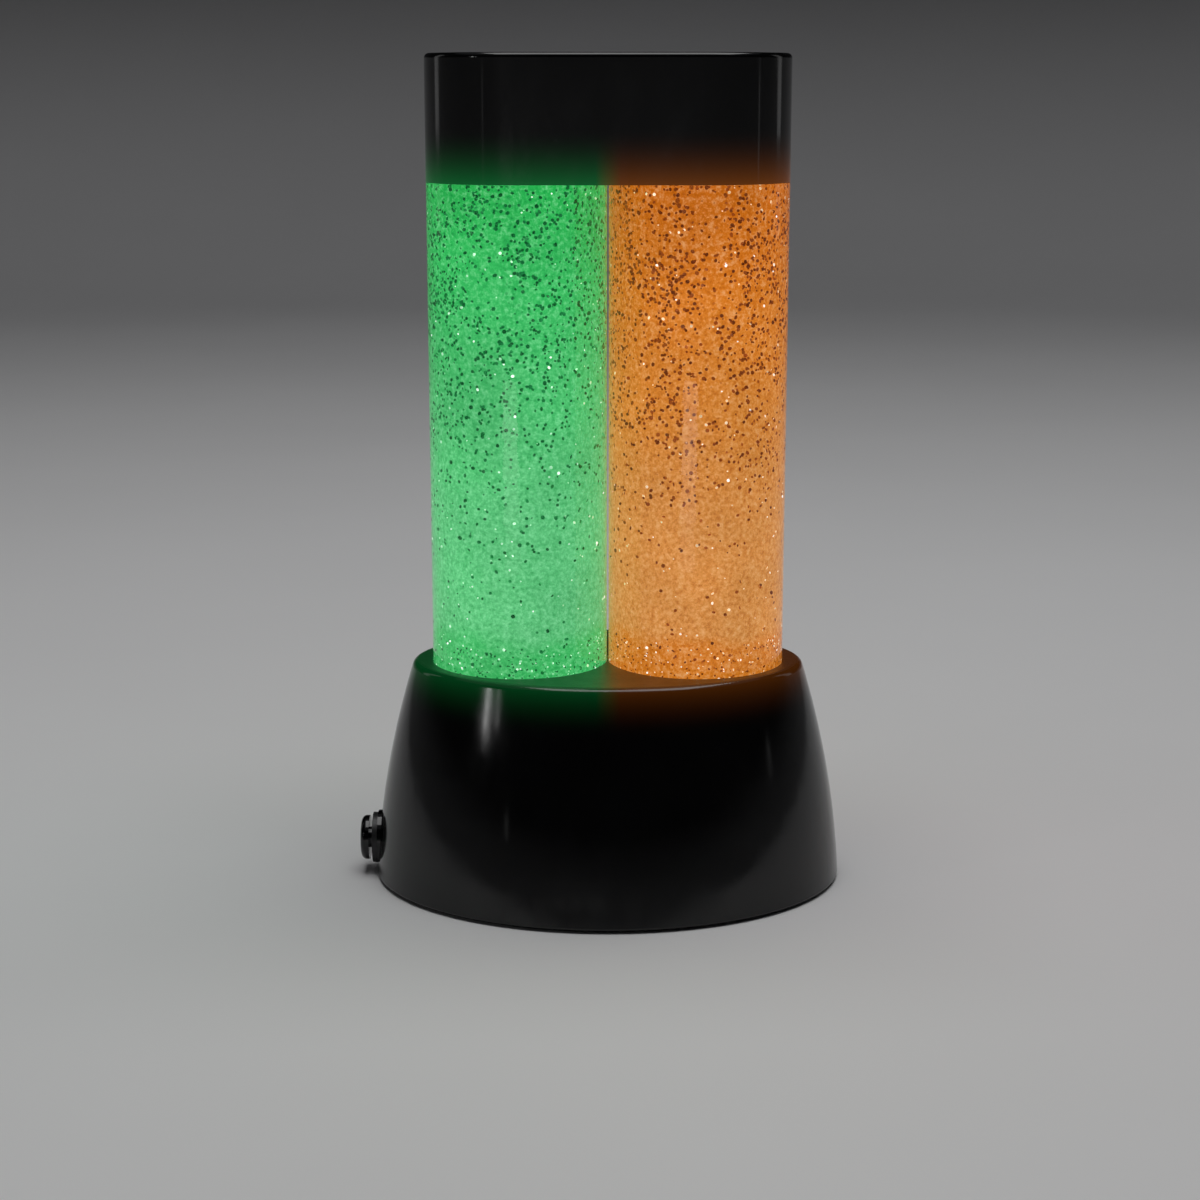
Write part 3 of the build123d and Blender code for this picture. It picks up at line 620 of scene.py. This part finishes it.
def board_material():
    """Solder mask with broad copper areas and tracks just visible under it."""
    mat, nt, shader = principled("board_green")
    tracks = nt.nodes.new("ShaderNodeTexBrick")
    set_inputs(tracks, Scale=240.0, Mortar_Size=0.03, Mortar_Smooth=0.1, Brick_Width=1.3, Row_Height=0.5)
    set_inputs(tracks, Color1=(0.012, 0.13, 0.045, 1), Color2=(0.016, 0.16, 0.055, 1))
    set_inputs(tracks, Mortar=(0.006, 0.07, 0.026, 1))
    nt.links.new(object_coords(nt), tracks.inputs["Vector"])
    feed(nt, shader, "Base Color", tracks.outputs["Color"])
    fine = noise_map(nt, 0.5 * MM, detail=2)
    feed(nt, shader, "Roughness", spread(nt, fine, 0.3, 0.7, 0.28, 0.4))
    bump(nt, shader, tracks.outputs["Fac"], 0.03 * MM, 0.6)
    return mat


def resistor_material():
    """Tan lacquer body with four plain bands; the wire legs are tinned."""
    mat, nt, shader = principled("resistor_tan")
    outer_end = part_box("board_resistors")[1].x
    span = 10.6 * MM
    from_middle = math_node(nt, "ABSOLUTE", axis(nt, "X"))
    along = spread(nt, from_middle, outer_end - span, outer_end)
    tan = (0.46, 0.33, 0.19)
    tin = (0.6, 0.6, 0.58)
    red = (0.35, 0.02, 0.02)
    violet = (0.06, 0.03, 0.2)
    gold = (0.45, 0.3, 0.05)
    bands = [(0.0, tin), (0.205, tan), (0.30, red), (0.36, tan), (0.45, violet), (0.51, tan)]
    bands += [(0.68, gold), (0.74, tan), (0.80, tin)]
    colour = ramp(nt, along, bands, "CONSTANT")
    worn = noise_map(nt, 0.8 * MM, detail=3)
    rubbed = mix_colour(nt, spread(nt, worn, 0.4, 0.8, 0.0, 0.3), colour, (0.2, 0.15, 0.1))
    feed(nt, shader, "Base Color", rubbed)
    legs = ramp(nt, along, [(0.0, (1, 1, 1)), (0.205, (0, 0, 0)), (0.80, (1, 1, 1))], "CONSTANT")
    feed(nt, shader, "Metallic", legs)
    feed(nt, shader, "Roughness", spread(nt, worn, 0.3, 0.7, 0.3, 0.5))
    return mat


def frosted(name, colour, glow):
    """Translucent part lit from behind, with a glow whose strength varies in soft clouds."""
    mat, nt, shader = principled(name)
    fine = noise_map(nt, 0.4 * MM, detail=3)
    cloud = noise_map(nt, 6 * MM, detail=2)
    shaded = tuple(c * 0.9 for c in colour)
    feed(nt, shader, "Base Color", ramp(nt, cloud, [(0.3, shaded), (0.7, colour)]))
    feed(nt, shader, "Emission Color", ramp(nt, cloud, [(0.3, (0.9, 0.95, 1.0)), (0.7, (1, 1, 1))]))
    feed(nt, shader, "Emission Strength", spread(nt, cloud, 0.3, 0.7, glow * 0.85, glow))
    feed(nt, shader, "Roughness", spread(nt, fine, 0.3, 0.7, 0.4, 0.6))
    bump(nt, shader, fine, 0.03 * MM, 0.7)
    return mat


def paint(material, *names):
    """Gives a CAD node the material in every one of its slots."""
    for name in names:
        mesh = nodes[name].data
        for i in range(max(len(mesh.materials), 1)):
            if i < len(mesh.materials):
                mesh.materials[i] = material
            else:
                mesh.materials.append(material)


def both(name):
    return [name + "_" + side for side in SIDES]


# The base and the cap carry a painted glow in the tubes' colours where they meet the tubes.
base_gloss_painted_glow = gloss_black("base_gloss_painted_glow", deck_z + 1 * MM, deck_z - 12 * MM, 0.12, deck_z - 0.3 * MM)
paint(base_gloss_painted_glow, "base_shell")
paint(gloss_black("cap_gloss_painted_glow", cap_z, cap_z + 14 * MM, 0.19), "top_cap")
paint(gloss_black("button_gloss"), "switch_button")
paint(satin_black("plate_satin"), "base_plate", "battery_door")
paint(satin_black("switch_satin", 0.3 * MM), "switch_bezel", "switch_housing")
paint(rubber("ring_rubber", (0.022, 0.022, 0.023), (0.036, 0.036, 0.038)), "anti_slip_ring")
seal_rubber = rubber("seal_rubber", (0.23, 0.23, 0.24), (0.33, 0.33, 0.34))
paint(seal_rubber, *both("tube_gasket"), *both("stopper_seal"))
paint(rubber("pad_foam", (0.09, 0.09, 0.1), (0.15, 0.15, 0.16)), *both("cap_pad"))
paint(moulded("stopper_white", (0.72, 0.72, 0.7), (0.82, 0.82, 0.8)), *both("tube_stopper"))
paint(metal("reflector_silver", (0.86, 0.87, 0.88), 0.12, brushed=False), *both("reflector"))
paint(frosted("lens_frosted", (0.88, 0.9, 0.9), 0.9), *both("lens"))
paint(frosted("led_lit", (0.95, 0.97, 1.0), 2.0), *both("led"))
paint(board_material(), "led_board")
paint(resistor_material(), "board_resistors")
paint(metal("screw_steel", (0.56, 0.56, 0.57), 0.3), "base_screws", "board_screws", "switch_nut")
nickel = metal("contact_nickel", (0.72, 0.7, 0.66), 0.22)
paint(nickel, "battery_contacts", "battery_springs", "switch_spring", "switch_terminals")
for cell in ("battery_cell_1", "battery_cell_2", "battery_cell_3"):
    paint(cell_material(cell), cell)
paint(moulded("wire_red", (0.42, 0.02, 0.02), (0.55, 0.03, 0.03), 0.45), "lead_positive")
paint(moulded("wire_black", (0.015, 0.015, 0.015), (0.025, 0.025, 0.025), 0.45), "lead_negative")
paint(moulded("wire_yellow", (0.6, 0.42, 0.03), (0.72, 0.52, 0.05), 0.45), "lead_switched")


def shorten_return_spring():
    """The spring stands between the button's stem and the housing and shortens as the button goes in;
    here it only gets a mesh of its own.
    """
    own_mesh(nodes["switch_spring"])


shorten_return_spring()


# ---------------------------------------------------------------- studio
LIGHT_CIRCLE = 1.0           # radius on which the strip lights stand
CARD_AZIMUTH = -100
CARD_START = 0.30
CARD_GROWTH = 1.4
CARD_WIDTH = 0.32
CARD_HEIGHT = 5 * MM
CARD_RADIANCES = (0.9, 1.8, 2.9, 3.4, 2.2)
AIR = (0.09, 0.09, 0.095)
EYE_PLACE = (-0.00197, -0.5888, 0.2029)
EYE_DIP = 12.466             # degrees below the horizon
EYE_LENS = 70.19


def studio_bowl():
    """Pale floor that curves up into a round, darker wall: every side has the same backdrop, and the
    glossy black mouldings mirror little of it."""
    mat, nt, shader = principled("studio_paper")
    cloud = noise_map(nt, 0.35, detail=4)
    fibre = noise_map(nt, 1.2 * MM, detail=2)
    paper = ramp(nt, cloud, [(0.3, (0.82, 0.82, 0.825)), (0.7, (0.86, 0.86, 0.865))])
    wall = spread(nt, axis(nt, "Z"), 0.02, 0.55, smooth=True)
    feed(nt, shader, "Base Color", mix_colour(nt, wall, paper, (0.06, 0.06, 0.062)))
    feed(nt, shader, "Roughness", spread(nt, fibre, 0.3, 0.7, 0.6, 0.75))
    set_inputs(shader, Specular_IOR_Level=0.25)
    flat = 1.6
    bend = 0.9
    profile = [(0.4, 0.0), (1.0, 0.0)]
    profile += arc(flat, bend, bend, -90, 0, steps=16)
    profile += [(flat + bend, 3.0)]
    verts = []
    faces = []
    segments = 96
    for radius, z in profile:
        for i in range(segments):
            turn = 2 * math.pi * i / segments
            verts.append((radius * math.cos(turn), radius * math.sin(turn), z))
    verts.append((0.0, 0.0, 0.0))
    for i in range(segments):
        j = (i + 1) % segments
        faces.append((len(verts) - 1, i, j))
        for ring in range(len(profile) - 1):
            a = ring * segments
            faces.append((a + i, a + segments + i, a + segments + j, a + j))
    bowl = new_piece("studio_bowl", verts, faces, [mat])


def softbox(name, place, target, width, height, radiance):
    """Area light of a given radiance, facing target."""
    light = bpy.data.lights.new(name, "AREA")
    light.shape = "RECTANGLE"
    light.size = width
    light.size_y = height
    light.energy = radiance * math.pi * width * height
    lamp = bpy.data.objects.new(name, light)
    lamp.location = place
    lamp.rotation_euler = (Vector(target) - Vector(place)).to_track_quat("-Z", "Y").to_euler()
    lamp.visible_camera = False
    bpy.context.scene.collection.objects.link(lamp)
    return lamp


def around(azimuth, height):
    """Place at a given height on the light circle; azimuth in degrees, -90 is straight in front."""
    turn = math.radians(azimuth)
    return (LIGHT_CIRCLE * math.cos(turn), LIGHT_CIRCLE * math.sin(turn), height)


def floor_cards():
    """Row of cards lying in front of the lamp. The tubes mirror them as one soft upright streak each, so
    every card is wider and longer than the one before in step with its distance."""
    turn = math.radians(CARD_AZIMUTH)
    near = CARD_START
    for step, radiance in enumerate(CARD_RADIANCES):
        far = near * CARD_GROWTH
        reach = (near + far) / 2
        place = (reach * math.cos(turn), reach * math.sin(turn), CARD_HEIGHT)
        name = "floor_card_%d" % (step + 1)
        card = softbox(name, place, middle, reach * CARD_WIDTH, far - near, radiance)
        card.rotation_euler = (math.pi, 0, turn + math.pi / 2)
        near = far


def world():
    sky = bpy.data.worlds.new("studio_air")
    sky.use_nodes = True
    sky.node_tree.nodes["Background"].inputs["Color"].default_value = (*AIR, 1)
    bpy.context.scene.world = sky


def camera():
    """The photograph's viewpoint: slightly above, looking down at the middle of the lamp."""
    data = bpy.data.cameras.new("view")
    data.sensor_width = 36.0
    data.lens = EYE_LENS
    data.clip_start = 0.01
    data.clip_end = 20.0
    eye = bpy.data.objects.new("view", data)
    eye.location = EYE_PLACE
    eye.rotation_euler = (math.radians(90 - EYE_DIP), 0, 0)
    bpy.context.scene.collection.objects.link(eye)
    bpy.context.scene.camera = eye


studio_bowl()
middle = (0, 0, top_z / 2)
softbox("top_softbox", (0.1, 0.0, 1.35), (0, 0, 0), 1.0, 1.0, 2.8)
softbox("key_strip_1", around(-144.5, 0.42), middle, 0.04, 0.14, 8.5)
softbox("key_strip_2", around(-138.8, 0.44), middle, 0.025, 0.07, 4.0)
softbox("left_strip", around(156, 0.45), middle, 0.16, 0.6, 0.45)
softbox("right_strip", around(24, 0.45), middle, 0.16, 0.6, 0.45)
softbox("cap_strip_left", around(-131, 0.18), middle, 0.02, 0.07, 0.3)
softbox("cap_strip_right", around(-13.5, 0.18), middle, 0.025, 0.07, 0.4)
floor_cards()
world()
camera()
# The liquids' emission is meant as the colour seen, so the view transform adds no film response.
bpy.context.scene.view_settings.view_transform = "Standard"
